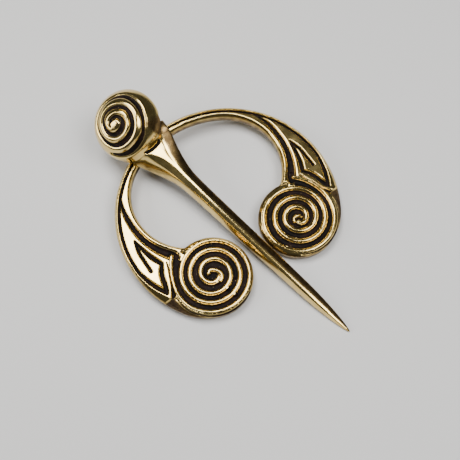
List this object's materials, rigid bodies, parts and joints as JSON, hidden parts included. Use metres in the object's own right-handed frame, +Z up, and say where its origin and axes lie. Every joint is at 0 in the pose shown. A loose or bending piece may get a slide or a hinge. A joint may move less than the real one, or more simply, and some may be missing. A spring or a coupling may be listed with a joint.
{
  "type": "penannular fibula brooch",
  "caption": "Open-ring brooch with flat spiral-carved terminals and a long pointed pin whose domed spiral head is looped onto the hoop, so that it swings.",
  "frame": {"origin": "on the surface the brooch lies on, under the middle of its box", "axes": "+Y away from the hoop's gap towards the pin's head, +Z up out of the carved face, +X to the right with the gap in front"},
  "size_m": [0.04, 0.0572, 0.013],
  "materials": {
    "antiqued_bronze": "cast and polished, with blackened recesses"
  },
  "bodies": {
    "ring": {"ring": "antiqued_bronze"},
    "pin": {"pin": "antiqued_bronze"}
  },
  "joints": [
    {"name": "pin_hinge", "type": "hinge", "parent": "ring", "child": "pin", "pos_m": [-0.00512, 0.0191, 0.00322], "axis": [-0.9632, -0.2684, -0.0162], "range_deg": [-40, 180]}
  ]
}
